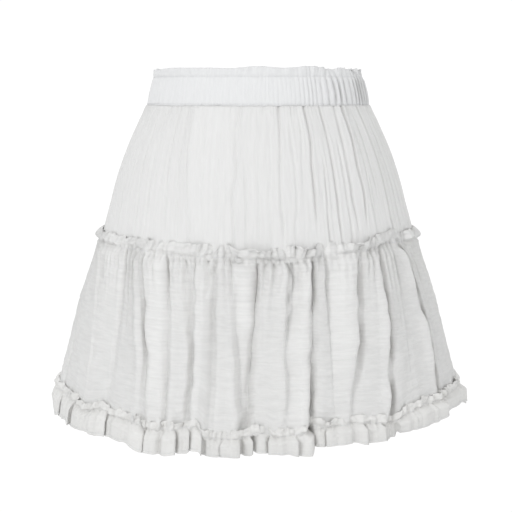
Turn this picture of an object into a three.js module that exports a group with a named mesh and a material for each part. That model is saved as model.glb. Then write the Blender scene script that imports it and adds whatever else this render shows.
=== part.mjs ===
// A short tiered ruffle skirt in crinkled cotton gauze, in the hollow shape that it has when it is worn.
// An elastic waistband carries a pleated upper tier. A fuller lower tier is gathered onto it, with its top edge
// left standing as a frill, and a short flounce with the same kind of frill is gathered onto the hem.
// Millimetres, +Z up, front towards -Y, origin on the skirt's axis at the middle of the waistband.
import * as THREE from "three";

// Driving sizes.
const CLOTH = 1.4; // wall of the gauze tiers
const CASING = 2.4; // wall of the waistband, two layers of gauze round an elastic
const GAP = 0.3; // clearance between pieces at a seam
const COLOUR = 0xf1f0ed;

// Heights along the side seam.
const HEADING_EDGE = 24;
const CASING_TOP = 13;
const CASING_FOOT = -14;
const TIER_SEAM = -152;
const TIER_FRILL = 12.5;
const HEM_SEAM = -305;
const HEM_FRILL = 8;
const FLOUNCE_FOOT = -331;

// The smooth body that the folds stand on: half widths to the side and to the front, and how much lower the
// front and back hang than the sides.
const FORM = [
  { level: 24, wide: 108.5, deep: 86, droop: 0 },
  { level: 13, wide: 109.2, deep: 86.5, droop: 0 },
  { level: 0, wide: 112.4, deep: 89.5, droop: 0 },
  { level: -14, wide: 115.6, deep: 92, droop: 0 },
  { level: -30, wide: 124, deep: 98, droop: 1 },
  { level: -55, wide: 135.5, deep: 106, droop: 3 },
  { level: -85, wide: 146.5, deep: 114, droop: 6.5 },
  { level: -120, wide: 156, deep: 121, droop: 10 },
  { level: -152, wide: 165, deep: 128, droop: 12 },
  { level: -230, wide: 187, deep: 146, droop: 10.5 },
  { level: -305, wide: 206.5, deep: 160, droop: 9 },
  { level: -345, wide: 216, deep: 167, droop: 9 },
];

// Creases of the upper tier's front: their angle at the tier's foot and at the waist, and their depth.
// Angles are in degrees round the skirt, 0 at the middle of the front and 90 at the wearer's left side seam.
const UPPER_CREASES = [
  { foot: -90, top: -90, depth: 1.2 },
  { foot: -80, top: -82, depth: 1.6 },
  { foot: -70, top: -74, depth: 1.3 },
  { foot: -61, top: -66, depth: 1.8 },
  { foot: -52, top: -58, depth: 1.4 },
  { foot: -44, top: -50, depth: 1.9 },
  { foot: -35, top: -41, depth: 1.6 },
  { foot: -24, top: -32, depth: 2.0 },
  { foot: -16, top: -20, depth: 1.3 },
  { foot: -8.5, top: -9.4, depth: 2.4 },
  { foot: -3.8, top: -4.6, depth: 1.7 },
  { foot: 2.5, top: 2.5, depth: 1.3 },
  { foot: 8.8, top: 9.4, depth: 2.2 },
  { foot: 15, top: 16, depth: 1.4 },
  { foot: 21.3, top: 23, depth: 2.3 },
  { foot: 26.5, top: 27, depth: 1.5 },
  { foot: 31.3, top: 31.5, depth: 2.3 },
  { foot: 37.6, top: 38.5, depth: 2.0 },
  { foot: 43, top: 45.5, depth: 2.6 },
  { foot: 52.4, top: 51.5, depth: 1.8 },
  { foot: 58.6, top: 58, depth: 2.4 },
  { foot: 65.3, top: 64, depth: 2.0 },
  { foot: 73, top: 72, depth: 2.2 },
  { foot: 81.5, top: 81, depth: 1.8 },
];

// Valleys of the lower tier's front: their angle at the hem and at the tier seam, their depth near each,
// and the half width of the groove in millimetres.
const LOWER_VALLEYS = [
  { foot: -90, top: -90, seamDepth: 3, hemDepth: 4, groove: 8 },
  { foot: -73, top: -80, seamDepth: 3, hemDepth: 5, groove: 8 },
  { foot: -55, top: -69, seamDepth: 4, hemDepth: 4, groove: 7 },
  { foot: -43.5, top: -52, seamDepth: 5, hemDepth: 3, groove: 8 },
  { foot: -33, top: -42.5, seamDepth: 4, hemDepth: 8, groove: 7 },
  { foot: -26.5, top: -34.5, seamDepth: 8, hemDepth: 7, groove: 7 },
  { foot: -19.8, top: -24.4, seamDepth: 8, hemDepth: 9, groove: 7 },
  { foot: -13, top: -15.4, seamDepth: 8, hemDepth: 4, groove: 7 },
  { foot: -5, top: -8.5, seamDepth: 5, hemDepth: 10, groove: 7 },
  { foot: 1.5, top: -0.5, seamDepth: 10, hemDepth: 3, groove: 7 },
  { foot: 8, top: 9.4, seamDepth: 8, hemDepth: 3, groove: 7 },
  { foot: 13.8, top: 19, seamDepth: 8, hemDepth: 13, groove: 8 },
  { foot: 27, top: 35, seamDepth: 10, hemDepth: 9, groove: 9 },
  { foot: 40, top: 47.5, seamDepth: 9, hemDepth: 8, groove: 9 },
  { foot: 62, top: 60, seamDepth: 11, hemDepth: 11, groove: 10 },
  { foot: 78, top: 76, seamDepth: 7, hemDepth: 8, groove: 9 },
];

// Folds of the flounce's front: their angle, their depth at the foot, the half width of the groove, how far
// the cloth after the fold stands out, and how much higher the foot is there than FLOUNCE_FOOT.
const FLOUNCE_VALLEYS = [
  { foot: -90, depth: 5, groove: 6, crest: 3, rise: 0 },
  { foot: -76, depth: 8, groove: 6, crest: 4, rise: 3.5 },
  { foot: -64, depth: 7, groove: 6, crest: 5, rise: 4 },
  { foot: -46, depth: 8, groove: 6, crest: 6, rise: -2 },
  { foot: -33, depth: 8, groove: 6, crest: 6, rise: -3 },
  { foot: -21, depth: 7, groove: 6, crest: 7, rise: -4 },
  { foot: -13, depth: 7, groove: 6, crest: 5, rise: 1.5 },
  { foot: -5, depth: 6, groove: 6, crest: 6, rise: -6 },
  { foot: 3.5, depth: 7, groove: 6, crest: 6, rise: 0 },
  { foot: 13.8, depth: 6, groove: 7, crest: 7, rise: 5.5 },
  { foot: 29, depth: 9, groove: 7, crest: 8, rise: 5 },
  { foot: 53, depth: 8, groove: 6, crest: 6, rise: 9 },
  { foot: 62, depth: 5, groove: 7, crest: 7, rise: 11 },
  { foot: 78, depth: 8, groove: 7, crest: 7, rise: 8 },
];

const GATHERS = 44; // gathers round the elastic
const GATHER_DEPTH = 1.7;
const HEADING_WAVE = 2.6; // swing of the waist heading's edge, one wave for two gathers
const LOWER_CREST = 5.5; // how far the lower tier's folds stand out from the form
const FRILL_WAVE = 4.5; // swing of the frills' edges

const rad = THREE.MathUtils.degToRad;
const lerp = THREE.MathUtils.lerp;
const smoothstep = THREE.MathUtils.smoothstep;

// Reads one column of FORM at a level, along a smooth curve through its rows.
function formValue(level, column) {
  const last = FORM.length - 1;
  let row = 0;
  while (row < last - 1 && level < FORM[row + 1].level) row += 1;
  const [before, from, to, after] = [Math.max(row - 1, 0), row, row + 1, Math.min(row + 2, last)].map((k) => FORM[k]);
  const span = to.level - from.level;
  const slopeAt = (a, b) => ((b[column] - a[column]) / (b.level - a.level)) * span;
  const t = (level - from.level) / span;
  const [start, end] = [slopeAt(before, to), slopeAt(from, after)];
  const squared = t * t;
  const cubed = squared * t;
  return (
    (2 * cubed - 3 * squared + 1) * from[column] +
    (cubed - 2 * squared + t) * start +
    (3 * squared - 2 * cubed) * to[column] +
    (cubed - squared) * end
  );
}

// The point at an angle and level, moved out from the form by a distance.
function formPoint(angle, level, out) {
  const [wide, deep, droop] = ["wide", "deep", "droop"].map((column) => formValue(level, column));
  const [sine, cosine] = [Math.sin(rad(angle)), Math.cos(rad(angle))];
  const normal = new THREE.Vector2(sine / wide, -cosine / deep).normalize();
  return new THREE.Vector3(
    wide * sine + normal.x * out,
    -deep * cosine + normal.y * out,
    level - droop * cosine * cosine,
  );
}

// A table of the front's folds, carried on round the back: turned half round, and a little uneven.
function allRound(front, depthColumns) {
  const back = front.map((fold, k) => {
    const copy = { ...fold };
    const share = k % 2 ? 1.1 : 0.85;
    for (const column of ["foot", "top"]) {
      if (column in copy) copy[column] += 180 + 2.5 * Math.sin(rad(2 * copy[column]));
    }
    for (const column of depthColumns) copy[column] *= share;
    return copy;
  });
  return [...front, ...back];
}

// The next fold round from fold k, with its angles carried past a full turn where it wraps.
function nextFold(folds, k) {
  if (k + 1 < folds.length) return folds[k + 1];
  const first = { ...folds[0] };
  for (const column of ["foot", "top"]) if (column in first) first[column] += 360;
  return first;
}

// The fold whose span holds an angle at the foot, the one after it, and the share of the way between them.
function spanAt(folds, angle) {
  const turned = THREE.MathUtils.euclideanModulo(angle + 90, 360) - 90;
  let k = folds.length - 1;
  while (k > 0 && folds[k].foot > turned + 1e-9) k -= 1;
  const [from, to] = [folds[k], nextFold(folds, k)];
  return { from, to, t: (turned - from.foot) / (to.foot - from.foot), turned };
}

// A fold's angle higher up, where the folds lean: the angle at the top for an angle at the foot.
function leanAt(folds, angle) {
  const { from, to, t, turned } = spanAt(folds, angle);
  return lerp(from.top, to.top, t) + angle - turned;
}

// A groove's share of its depth at a distance from its bottom.
function grooveShare(distance, groove) {
  return distance >= groove ? 0 : 0.5 * (1 + Math.cos((Math.PI * distance) / groove));
}

const upperCreases = allRound(UPPER_CREASES, ["depth"]);
const lowerValleys = allRound(LOWER_VALLEYS, ["seamDepth", "hemDepth"]);
const flounceValleys = allRound(FLOUNCE_VALLEYS, ["depth"]);

// Columns of points: the bottom of each fold, its shoulders, and one or two crests where it is wide.
function columnsOf(folds, shoulder) {
  const angles = [];
  folds.forEach((fold, k) => {
    const span = nextFold(folds, k).foot - fold.foot;
    const inset = Math.min(shoulder, span / 3);
    angles.push(fold.foot, fold.foot + inset);
    const crests = Math.round((span - 2 * inset) / (3.2 * shoulder));
    for (let n = 1; n <= crests; n += 1) angles.push(fold.foot + inset + ((span - 2 * inset) * n) / (crests + 1));
    angles.push(fold.foot + span - inset);
  });
  return angles;
}

// Two lists of columns as one, leaving out what lies too close to its neighbour.
function mergedColumns(main, extra, closest) {
  const kept = [...main];
  const apart = (a, b) => Math.abs(THREE.MathUtils.euclideanModulo(a - b + 180, 360) - 180);
  for (const angle of extra) {
    if (kept.every((other) => apart(angle, other) >= closest)) kept.push(angle);
  }
  return kept.sort((a, b) => a - b);
}

// Moves a ring of points outwards in plan, square to it, by a distance.
function movedOut(ring, distance, closed) {
  const sharpest = 0.55;
  return ring.map((point, k) => {
    const before = closed ? ring.at(k - 1) : ring[Math.max(k - 1, 0)];
    const after = closed ? ring[(k + 1) % ring.length] : ring[Math.min(k + 1, ring.length - 1)];
    const square = (a, b) => new THREE.Vector2(b.y - a.y, a.x - b.x).normalize();
    const sides = [];
    if (before !== point) sides.push(square(before, point));
    if (after !== point) sides.push(square(point, after));
    const mean = sides.reduce((sum, side) => sum.add(side), new THREE.Vector2()).normalize();
    const reach = distance / Math.max(mean.dot(sides[0]), sharpest);
    return new THREE.Vector3(point.x + mean.x * reach, point.y + mean.y * reach, point.z);
  });
}

// A closed wall from rings of outer points, listed from the top edge down. A closed wall goes all round, and
// an open one is a panel with two side edges.
function wallGeometry(rings, thickness, closed) {
  const inner = rings.map((ring) => movedOut(ring, -thickness, closed));
  const [rows, columns] = [rings.length, rings[0].length];
  const points = [...rings.flat(), ...inner.flat()];
  const at = (side, row, column) => side * rows * columns + row * columns + (column % columns);
  const faces = [];
  const quad = (a, b, c, d) => faces.push(a, b, c, a, c, d);
  const spans = closed ? columns : columns - 1;
  for (let column = 0; column < spans; column += 1) {
    for (let row = 0; row < rows - 1; row += 1) {
      quad(at(0, row, column), at(0, row + 1, column), at(0, row + 1, column + 1), at(0, row, column + 1));
      quad(at(1, row, column), at(1, row, column + 1), at(1, row + 1, column + 1), at(1, row + 1, column));
    }
    quad(at(0, 0, column), at(0, 0, column + 1), at(1, 0, column + 1), at(1, 0, column));
    const foot = rows - 1;
    quad(at(0, foot, column), at(1, foot, column), at(1, foot, column + 1), at(0, foot, column + 1));
  }
  if (!closed) {
    const end = columns - 1;
    for (let row = 0; row < rows - 1; row += 1) {
      quad(at(0, row, 0), at(1, row, 0), at(1, row + 1, 0), at(0, row + 1, 0));
      quad(at(0, row, end), at(0, row + 1, end), at(1, row + 1, end), at(1, row, end));
    }
  }
  const geometry = new THREE.BufferGeometry();
  geometry.setAttribute("position", new THREE.Float32BufferAttribute(points.flatMap((p) => [p.x, p.y, p.z]), 3));
  geometry.setIndex(faces);
  geometry.computeVertexNormals();
  return geometry;
}

// The front or back half of rings that go all round: its side edges lie half a gap off the side seams.
function halfOf(rings, columns, back) {
  const [first, last] = back ? [90, 270] : [-90, 90];
  return rings.map((ring) => {
    const whole = [...ring, ring[0]];
    const angles = [...columns, columns[0] + 360];
    const half = whole.filter((point, k) => angles[k] >= first - 1e-6 && angles[k] <= last + 1e-6);
    return half.map((point, k) => {
      const atSide = k === 0 || k === half.length - 1;
      return atSide ? new THREE.Vector3(point.x, ((back ? 1 : -1) * GAP) / 2, point.z) : point.clone();
    });
  });
}

const skirt = new THREE.Group();
skirt.name = "tiered_ruffle_skirt";

function addPiece(name, geometry) {
  const material = new THREE.MeshStandardMaterial({ color: COLOUR, roughness: 0.92, metalness: 0 });
  const piece = new THREE.Mesh(geometry, material);
  piece.name = name;
  skirt.add(piece);
}

// A tier's front and back panels, which meet at the side seams.
function addPanels(name, rings, columns) {
  addPiece(name + "_front", wallGeometry(halfOf(rings, columns, false), CLOTH, false));
  addPiece(name + "_back", wallGeometry(halfOf(rings, columns, true), CLOTH, false));
}

// The waistband is one strip folded over a wide elastic, closed in a ring. Two rows of stitches hold it, and
// the fold above the upper row stands as a wavy heading.
function addWaistband() {
  const stepsOfGather = 4;
  const columns = GATHERS * stepsOfGather;
  const rows = [
    { level: HEADING_EDGE, gather: 0.4, heading: 1, out: 0.5 },
    { level: CASING_TOP, gather: 0.45, heading: 0, out: 0 },
    { level: 6, gather: 1, heading: 0, out: 1 },
    { level: -7, gather: 1, heading: 0, out: 1 },
    { level: CASING_FOOT + GAP / 2, gather: 0.45, heading: 0, out: 0 },
  ];
  const rings = rows.map(({ level, gather, heading, out }) =>
    Array.from({ length: columns }, (_, k) => {
      const turn = k / stepsOfGather;
      const uneven = 0.22 * Math.sin(2.4 * Math.floor(turn)) + 0.2 * Math.sin(1.7 * turn);
      const angle = -90 + (360 / GATHERS) * turn + (k % stepsOfGather ? uneven : 0);
      const swell = GATHER_DEPTH * (0.8 + 0.3 * Math.sin(3.1 * Math.floor(turn)));
      const wave = Math.sin(Math.PI * turn) * (0.7 + 0.3 * Math.sin(0.9 * turn));
      const point = formPoint(angle, level, out + gather * swell * -Math.cos(2 * Math.PI * turn));
      const swung = formPoint(angle, level, out + heading * HEADING_WAVE * wave);
      point.lerp(swung, heading);
      point.z += heading * 1.2 * Math.sin(0.55 * turn);
      return point;
    }),
  );
  addPiece("waistband", wallGeometry(rings, CASING, true));
}

// The upper tier hangs from the band over the hips. Its gauze is crinkled into creases that run top to foot.
function addUpperTier() {
  const columns = columnsOf(upperCreases, 2.4);
  const rows = [
    { level: CASING_FOOT - GAP / 2, crease: 0.7 },
    { level: -29, crease: 1 },
    { level: -62, crease: 1 },
    { level: -108, crease: 1 },
    { level: TIER_SEAM, crease: 0.5 },
  ];
  const rings = rows.map(({ level, crease }) => {
    const down = (CASING_FOOT - level) / (CASING_FOOT - TIER_SEAM);
    return columns.map((foot) => {
      const { from, t } = spanAt(upperCreases, foot);
      const bottom = t < 1e-6 ? from.depth : 0;
      const angle = lerp(leanAt(upperCreases, foot), foot, THREE.MathUtils.clamp(down, 0, 1));
      return formPoint(angle, level, -crease * bottom);
    });
  });
  addPanels("upper_tier", rings, columns);
}

const lowerColumns = mergedColumns(columnsOf(lowerValleys, 2.4), columnsOf(flounceValleys, 2.4), 1.7);

// How far the lower tier stands out from the form, at an angle at its foot and a level.
function lowerOut(foot, level) {
  const { from, to, t, turned } = spanAt(lowerValleys, foot);
  const down = (TIER_SEAM - level) / (TIER_SEAM - HEM_SEAM);
  const swell = smoothstep(down, 0, 0.12);
  const arch = Math.sqrt(Math.max(Math.sin(Math.PI * t), 0));
  const girth = rad(formValue(level, "wide") + formValue(level, "deep")) / 2;
  let out = LOWER_CREST * arch * (1 - 0.35 * down);
  for (const [fold, distance] of [[from, turned - from.foot], [to, to.foot - turned]]) {
    const depth = lerp(fold.seamDepth, fold.hemDepth, THREE.MathUtils.clamp(down, 0, 1));
    out -= depth * grooveShare(distance * girth, fold.groove);
  }
  return out * swell;
}

// The lower tier's outer points at a level, for every column.
function lowerRing(level) {
  const down = THREE.MathUtils.clamp((TIER_SEAM - level) / (TIER_SEAM - HEM_SEAM), 0, 1);
  return lowerColumns.map((foot) => {
    const angle = lerp(leanAt(lowerValleys, foot), foot, down);
    return formPoint(angle, level, GAP + CLOTH + 0.1 + lowerOut(foot, level));
  });
}

// A frill's swing at a column: out at the crests between folds, and back against the cloth at the folds.
function frillSwing(folds, foot) {
  const { t } = spanAt(folds, foot);
  return Math.sin(Math.PI * t) ** 2;
}

// The lower tier is gathered at the tier seam, laid over the foot of the upper tier. The cloth above the
// gathering stitches stands out as a frill.
function addLowerTier() {
  const frill = (rise, swing) =>
    lowerColumns.map((foot, k) => {
      const out = GAP + CLOTH + 0.1 + swing * (0.25 + frillSwing(lowerValleys, foot)) * (k % 2 ? 1 : 0.55);
      const level = TIER_SEAM + rise;
      return formPoint(leanAt(lowerValleys, foot), level + (swing / FRILL_WAVE) * Math.sin(1.3 * k), out);
    });
  const rings = [
    frill(TIER_FRILL, FRILL_WAVE),
    frill(TIER_FRILL / 2, FRILL_WAVE / 2),
    ...[TIER_SEAM, -165, -187, -227, -268, HEM_SEAM].map(lowerRing),
  ];
  addPanels("lower_tier", rings, lowerColumns);
}

// The flounce is gathered onto the foot of the lower tier and follows its folds. It has a frill above its
// gathering stitches and its own folds below them.
function addFlounce() {
  const rows = [
    { level: HEM_SEAM + HEM_FRILL, frill: 1, fold: 0, rise: 0 },
    { level: HEM_SEAM, frill: 0, fold: 0, rise: 0 },
    { level: HEM_SEAM - 8, frill: 0, fold: 0.7, rise: 0.25 },
    { level: HEM_SEAM - 17, frill: 0, fold: 0.95, rise: 0.6 },
    { level: FLOUNCE_FOOT, frill: 0, fold: 1, rise: 1 },
  ];
  const rings = rows.map(({ level, frill, fold, rise }) => {
    const base = movedOut(lowerRing(level), GAP + CLOTH, true);
    const girth = rad(formValue(level, "wide") + formValue(level, "deep")) / 2;
    return base.map((point, k) => {
      const foot = lowerColumns[k];
      const { from, to, t, turned } = spanAt(flounceValleys, foot);
      let out = fold * from.crest * Math.sqrt(Math.max(Math.sin(Math.PI * t), 0));
      for (const [valley, distance] of [[from, turned - from.foot], [to, to.foot - turned]]) {
        out -= fold * valley.depth * grooveShare(distance * girth, valley.groove);
      }
      out += frill * (0.8 + FRILL_WAVE * frillSwing(flounceValleys, foot) * (k % 2 ? 1 : 0.5));
      const [still, moved] = [0, out].map((distance) => formPoint(foot, level, distance));
      const lifted = point.clone().add(moved.sub(still));
      lifted.z += rise * lerp(from.rise, to.rise, t);
      return lifted;
    });
  });
  addPanels("hem_flounce", rings, lowerColumns);
}

addWaistband();
addUpperTier();
addLowerTier();
addFlounce();

export default skirt;
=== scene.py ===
import math

import bmesh
import bpy
import numpy as np
from mathutils import Matrix, Vector


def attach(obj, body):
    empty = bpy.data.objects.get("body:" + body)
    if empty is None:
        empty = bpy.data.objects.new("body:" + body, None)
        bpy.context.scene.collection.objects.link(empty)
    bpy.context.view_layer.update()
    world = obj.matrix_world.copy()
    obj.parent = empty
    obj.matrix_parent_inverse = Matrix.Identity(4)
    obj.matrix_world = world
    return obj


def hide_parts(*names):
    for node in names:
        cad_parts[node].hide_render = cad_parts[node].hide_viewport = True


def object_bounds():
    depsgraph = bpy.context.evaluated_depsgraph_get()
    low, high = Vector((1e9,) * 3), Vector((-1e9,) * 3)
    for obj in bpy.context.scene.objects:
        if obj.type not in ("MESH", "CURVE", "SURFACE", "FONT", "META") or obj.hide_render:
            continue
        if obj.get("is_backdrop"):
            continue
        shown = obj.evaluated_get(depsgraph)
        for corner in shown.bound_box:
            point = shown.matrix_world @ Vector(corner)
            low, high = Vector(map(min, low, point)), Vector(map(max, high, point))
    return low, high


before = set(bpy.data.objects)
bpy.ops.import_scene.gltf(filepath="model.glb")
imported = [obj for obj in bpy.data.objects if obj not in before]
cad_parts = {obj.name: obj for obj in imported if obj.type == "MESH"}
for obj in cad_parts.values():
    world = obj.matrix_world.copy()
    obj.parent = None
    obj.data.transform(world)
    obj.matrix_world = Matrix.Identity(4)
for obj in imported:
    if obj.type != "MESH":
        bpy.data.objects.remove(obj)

cad_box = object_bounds()

# Waistband: one strip of crinkled cotton gauze, folded over a wide elastic and closed in a ring. Two rows of
# stitches hold the elastic, and the fold above the upper row stands as a wavy heading. The elastic draws the
# strip into close upright gathers.
MM = 0.001

# The smooth body of the skirt in millimetres: half widths to the side and to the front, and how much lower
# the front and back hang than the sides.
FORM_COLUMNS = ("level", "wide", "deep", "droop")
FORM = (
    (24, 108.5, 86, 0),
    (13, 109.2, 86.5, 0),
    (0, 112.4, 89.5, 0),
    (-14, 115.6, 92, 0),
    (-30, 124, 98, 1),
    (-55, 135.5, 106, 3),
    (-85, 146.5, 114, 6.5),
    (-120, 156, 121, 10),
    (-152, 165, 128, 12),
    (-230, 187, 146, 10.5),
    (-305, 206.5, 160, 9),
    (-345, 216, 167, 9),
)


def smooth_steps(rows, steps=24):
    """The rows of a table with a smooth curve's steps put in between them."""
    rows = np.array(rows, float)
    slopes = np.gradient(rows, axis=0)
    share = np.linspace(0, 1, steps, endpoint=False)[:, None]
    square, cube = share**2, share**3
    spans = [
        (2 * cube - 3 * square + 1) * rows[k]
        + (cube - 2 * square + share) * slopes[k]
        + (3 * square - 2 * cube) * rows[k + 1]
        + (cube - square) * slopes[k + 1]
        for k in range(len(rows) - 1)
    ]
    return np.vstack([*spans, rows[-1:]])


form_steps = smooth_steps(FORM)[::-1]


def form_at(level, column):
    """A column of FORM at any level."""
    return np.interp(level, form_steps[:, 0], form_steps[:, FORM_COLUMNS.index(column)])


def place(angle, level, out, along=0.0):
    """Points at an angle round the skirt and a level, moved out from the form and along it."""
    wide, deep, droop = (form_at(level, column) for column in FORM_COLUMNS[1:])
    sine, cosine = np.sin(np.radians(angle)), np.cos(np.radians(angle))
    across, away = sine / wide, -cosine / deep
    length = np.hypot(across, away)
    across, away = across / length, away / length
    x = wide * sine + across * out - away * along
    y = -deep * cosine + away * out + across * along
    return np.stack([x, y, level - droop * cosine**2], axis=-1)


def girth(level):
    """Millimetres round the skirt for one degree."""
    return np.radians(form_at(level, "wide") + form_at(level, "deep")) / 2


def soft_noise(across, down, seed):
    """Even noise from -1 to 1 over two distances, about one bump for each unit."""
    table = np.random.default_rng(seed).uniform(-1, 1, (256, 256))
    column, row = np.floor(across).astype(int), np.floor(down).astype(int)
    right, below = across - column, down - row
    right, below = (share * share * (3 - 2 * share) for share in (right, below))
    corner = lambda step, drop: table[(column + step) % 256, (row + drop) % 256]
    upper = corner(0, 0) * (1 - right) + corner(1, 0) * right
    lower = corner(0, 1) * (1 - right) + corner(1, 1) * right
    return 1.6 * (upper * (1 - below) + lower * below)


def smooth_share(value, start, end):
    """The share of the way from start to end, eased at both."""
    share = np.clip((value - start) / (end - start), 0, 1)
    return share * share * (3 - 2 * share)


def cloth_piece(name, columns, rows, surface, thickness, ring=False):
    """A sheet of cloth as a thin shell: a flat grid laid where surface(across, down) puts it. The grid's own
    distances along the cut cloth are kept as its map, in metres."""
    shape = bmesh.new()
    bmesh.ops.create_grid(shape, x_segments=columns, y_segments=rows, size=0.5)
    across = np.array([vert.co.x + 0.5 for vert in shape.verts])
    down = np.array([0.5 - vert.co.y for vert in shape.verts])
    places, cut = surface(across, down)
    marks = shape.loops.layers.uv.new("cloth")
    for face in shape.faces:
        for loop in face.loops:
            loop[marks].uv = cut[loop.vert.index] * MM
    for vert, point in zip(shape.verts, places * MM):
        vert.co = point
    if ring:
        bmesh.ops.remove_doubles(shape, verts=shape.verts, dist=0.01 * MM)
    for face in shape.faces:
        face.smooth = True
    mesh = bpy.data.meshes.new(name)
    shape.to_mesh(mesh)
    shape.free()
    piece = bpy.data.objects.new(name, mesh)
    bpy.context.collection.objects.link(piece)
    wall = piece.modifiers.new("cloth wall", "SOLIDIFY")
    wall.thickness = thickness * MM
    wall.offset = -1
    return piece


def new_group(name, inputs, outputs):
    """An empty shader node group with named sockets."""
    group = bpy.data.node_groups.new(name, "ShaderNodeTree")
    for socket, default in inputs.items():
        made = group.interface.new_socket(socket, in_out="INPUT", socket_type="NodeSocketFloat")
        made.default_value = default
    for socket in outputs:
        group.interface.new_socket(socket, in_out="OUTPUT", socket_type="NodeSocketFloat")
    return group, group.nodes.new("NodeGroupInput"), group.nodes.new("NodeGroupOutput")


def math_node(tree, operation, first, second=None):
    """A Math node on one or two sockets or numbers. Returns its result."""
    node = tree.nodes.new("ShaderNodeMath")
    node.operation = operation
    for socket, value in zip(node.inputs, (first, second)):
        if value is None:
            continue
        if isinstance(value, (int, float)):
            socket.default_value = value
        else:
            tree.links.new(value, socket)
    return node.outputs[0]


WEAVE_PITCH = 0.55  # millimetres from one pair of threads to the next


def gauze_group():
    """Crinkled cotton gauze over the cut cloth's own map: puckers drawn out along one thread direction, a
    finer creasing on them, and the open plain weave."""
    group, given, result = new_group(
        "crinkled gauze",
        {"Puckers Across": 250, "Puckers Down": 30, "Creasing": 0.35, "Weave": 0.12},
        ("Height", "Shade"),
    )
    link = group.links.new
    cloth = group.nodes.new("ShaderNodeUVMap")
    cloth.uv_map = "cloth"
    split = group.nodes.new("ShaderNodeSeparateXYZ")
    link(cloth.outputs["UV"], split.inputs[0])

    def streaks(across, down, detail, roughness):
        place_node = group.nodes.new("ShaderNodeCombineXYZ")
        link(math_node(group, "MULTIPLY", split.outputs["X"], across), place_node.inputs["X"])
        link(math_node(group, "MULTIPLY", split.outputs["Y"], down), place_node.inputs["Y"])
        noise = group.nodes.new("ShaderNodeTexNoise")
        noise.noise_dimensions = "2D"
        noise.inputs["Scale"].default_value = 1
        noise.inputs["Detail"].default_value = detail
        noise.inputs["Roughness"].default_value = roughness
        link(place_node.outputs[0], noise.inputs["Vector"])
        return noise.outputs["Fac"]

    puckers = streaks(given.outputs["Puckers Across"], given.outputs["Puckers Down"], 2, 0.55)
    creasing = streaks(
        math_node(group, "MULTIPLY", given.outputs["Puckers Across"], 2.4),
        math_node(group, "MULTIPLY", given.outputs["Puckers Down"], 3.1),
        3,
        0.6,
    )
    turns = math.tau / (WEAVE_PITCH * MM)
    warp = math_node(group, "SINE", math_node(group, "MULTIPLY", split.outputs["X"], turns))
    weft = math_node(group, "SINE", math_node(group, "MULTIPLY", split.outputs["Y"], turns))
    woven = math_node(group, "MULTIPLY", warp, weft)
    weave = math_node(group, "MULTIPLY", woven, given.outputs["Weave"])
    creased = math_node(group, "MULTIPLY", creasing, given.outputs["Creasing"])
    height = math_node(group, "ADD", math_node(group, "ADD", puckers, creased), weave)
    link(height, result.inputs["Height"])
    # Painted shade: Shade follows the puckers and the creasing, so the cloth's colour darkens in their hollows.
    shade = math_node(group, "ADD", puckers, math_node(group, "MULTIPLY", creasing, 0.5))
    link(shade, result.inputs["Shade"])
    return group


gauze = gauze_group()


def gauze_material(name, across, down, puckering, tint=(0.688, 0.68, 0.664), pucker_shade=0.955):
    """White gauze with its puckers' counts for each metre across and down the cut cloth. Its colour is darkened
    where the puckers lie low, down to the share given as its last argument: painted shade in their hollows."""
    made = bpy.data.materials.new(name)
    made.use_nodes = True
    tree = made.node_tree
    link = tree.links.new
    cloth = tree.nodes["Principled BSDF"]
    cloth.inputs["Roughness"].default_value = 0.92
    cloth.inputs["Specular IOR Level"].default_value = 0.2
    cloth.inputs["Sheen Weight"].default_value = 0.08
    cloth.inputs["Sheen Roughness"].default_value = 0.5
    pattern = tree.nodes.new("ShaderNodeGroup")
    pattern.node_tree = gauze
    pattern.inputs["Puckers Across"].default_value = across
    pattern.inputs["Puckers Down"].default_value = down
    bump = tree.nodes.new("ShaderNodeBump")
    bump.inputs["Strength"].default_value = 1
    bump.inputs["Distance"].default_value = puckering * MM
    link(pattern.outputs["Height"], bump.inputs["Height"])
    link(bump.outputs["Normal"], cloth.inputs["Normal"])
    # Painted shade: the tint is darkened where the puckers lie low, down to the share given to the material.
    tone = tree.nodes.new("ShaderNodeMapRange")
    tone.inputs["From Min"].default_value = 0.45
    tone.inputs["From Max"].default_value = 1.05
    tone.inputs["To Min"].default_value = pucker_shade
    tone.inputs["To Max"].default_value = 1.0
    link(pattern.outputs["Shade"], tone.inputs["Value"])
    colour = tree.nodes.new("ShaderNodeVectorMath")
    colour.operation = "SCALE"
    colour.inputs[0].default_value = tint
    link(tone.outputs["Result"], colour.inputs["Scale"])
    link(colour.outputs["Vector"], cloth.inputs["Base Color"])
    return made


HEADING_EDGE = 25
CASING_TOP = 15.2
CASING_FOOT = -13.7
CASING_ROW = 0.32  # the shares of the rows at which the casing's two stitch rows lie
FOOT_ROW = 0.95
WAIST_TURN = 660  # the gathered strip's length once round, in millimetres
STRIP_FULLNESS = 1.5  # how much longer the strip was cut
STRIP_DROP = 39  # its height from the heading's edge to the seam
CLOSEST_GATHERS = 5.6  # millimetres from one gather to the next where they are closest
GATHER_DEPTH = 2.6
HEADING_WAVE = 12.5  # the heading's wave length


def waist_gathers():
    """The gathers' running number round the band: close together on one side and wider on the other."""
    angles = np.linspace(-92, 272, 1500)
    side = np.sin(np.radians(angles))
    wider = np.where(side > 0, 4.6 * side**3, 3.4 * side**2)
    pitch = CLOSEST_GATHERS + wider + 1.7 * soft_noise(angles / 13, angles * 0, 11)
    steps = np.gradient(angles) * girth(0) / pitch
    return angles, np.cumsum(steps)


gather_angles, gather_count = waist_gathers()


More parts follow.
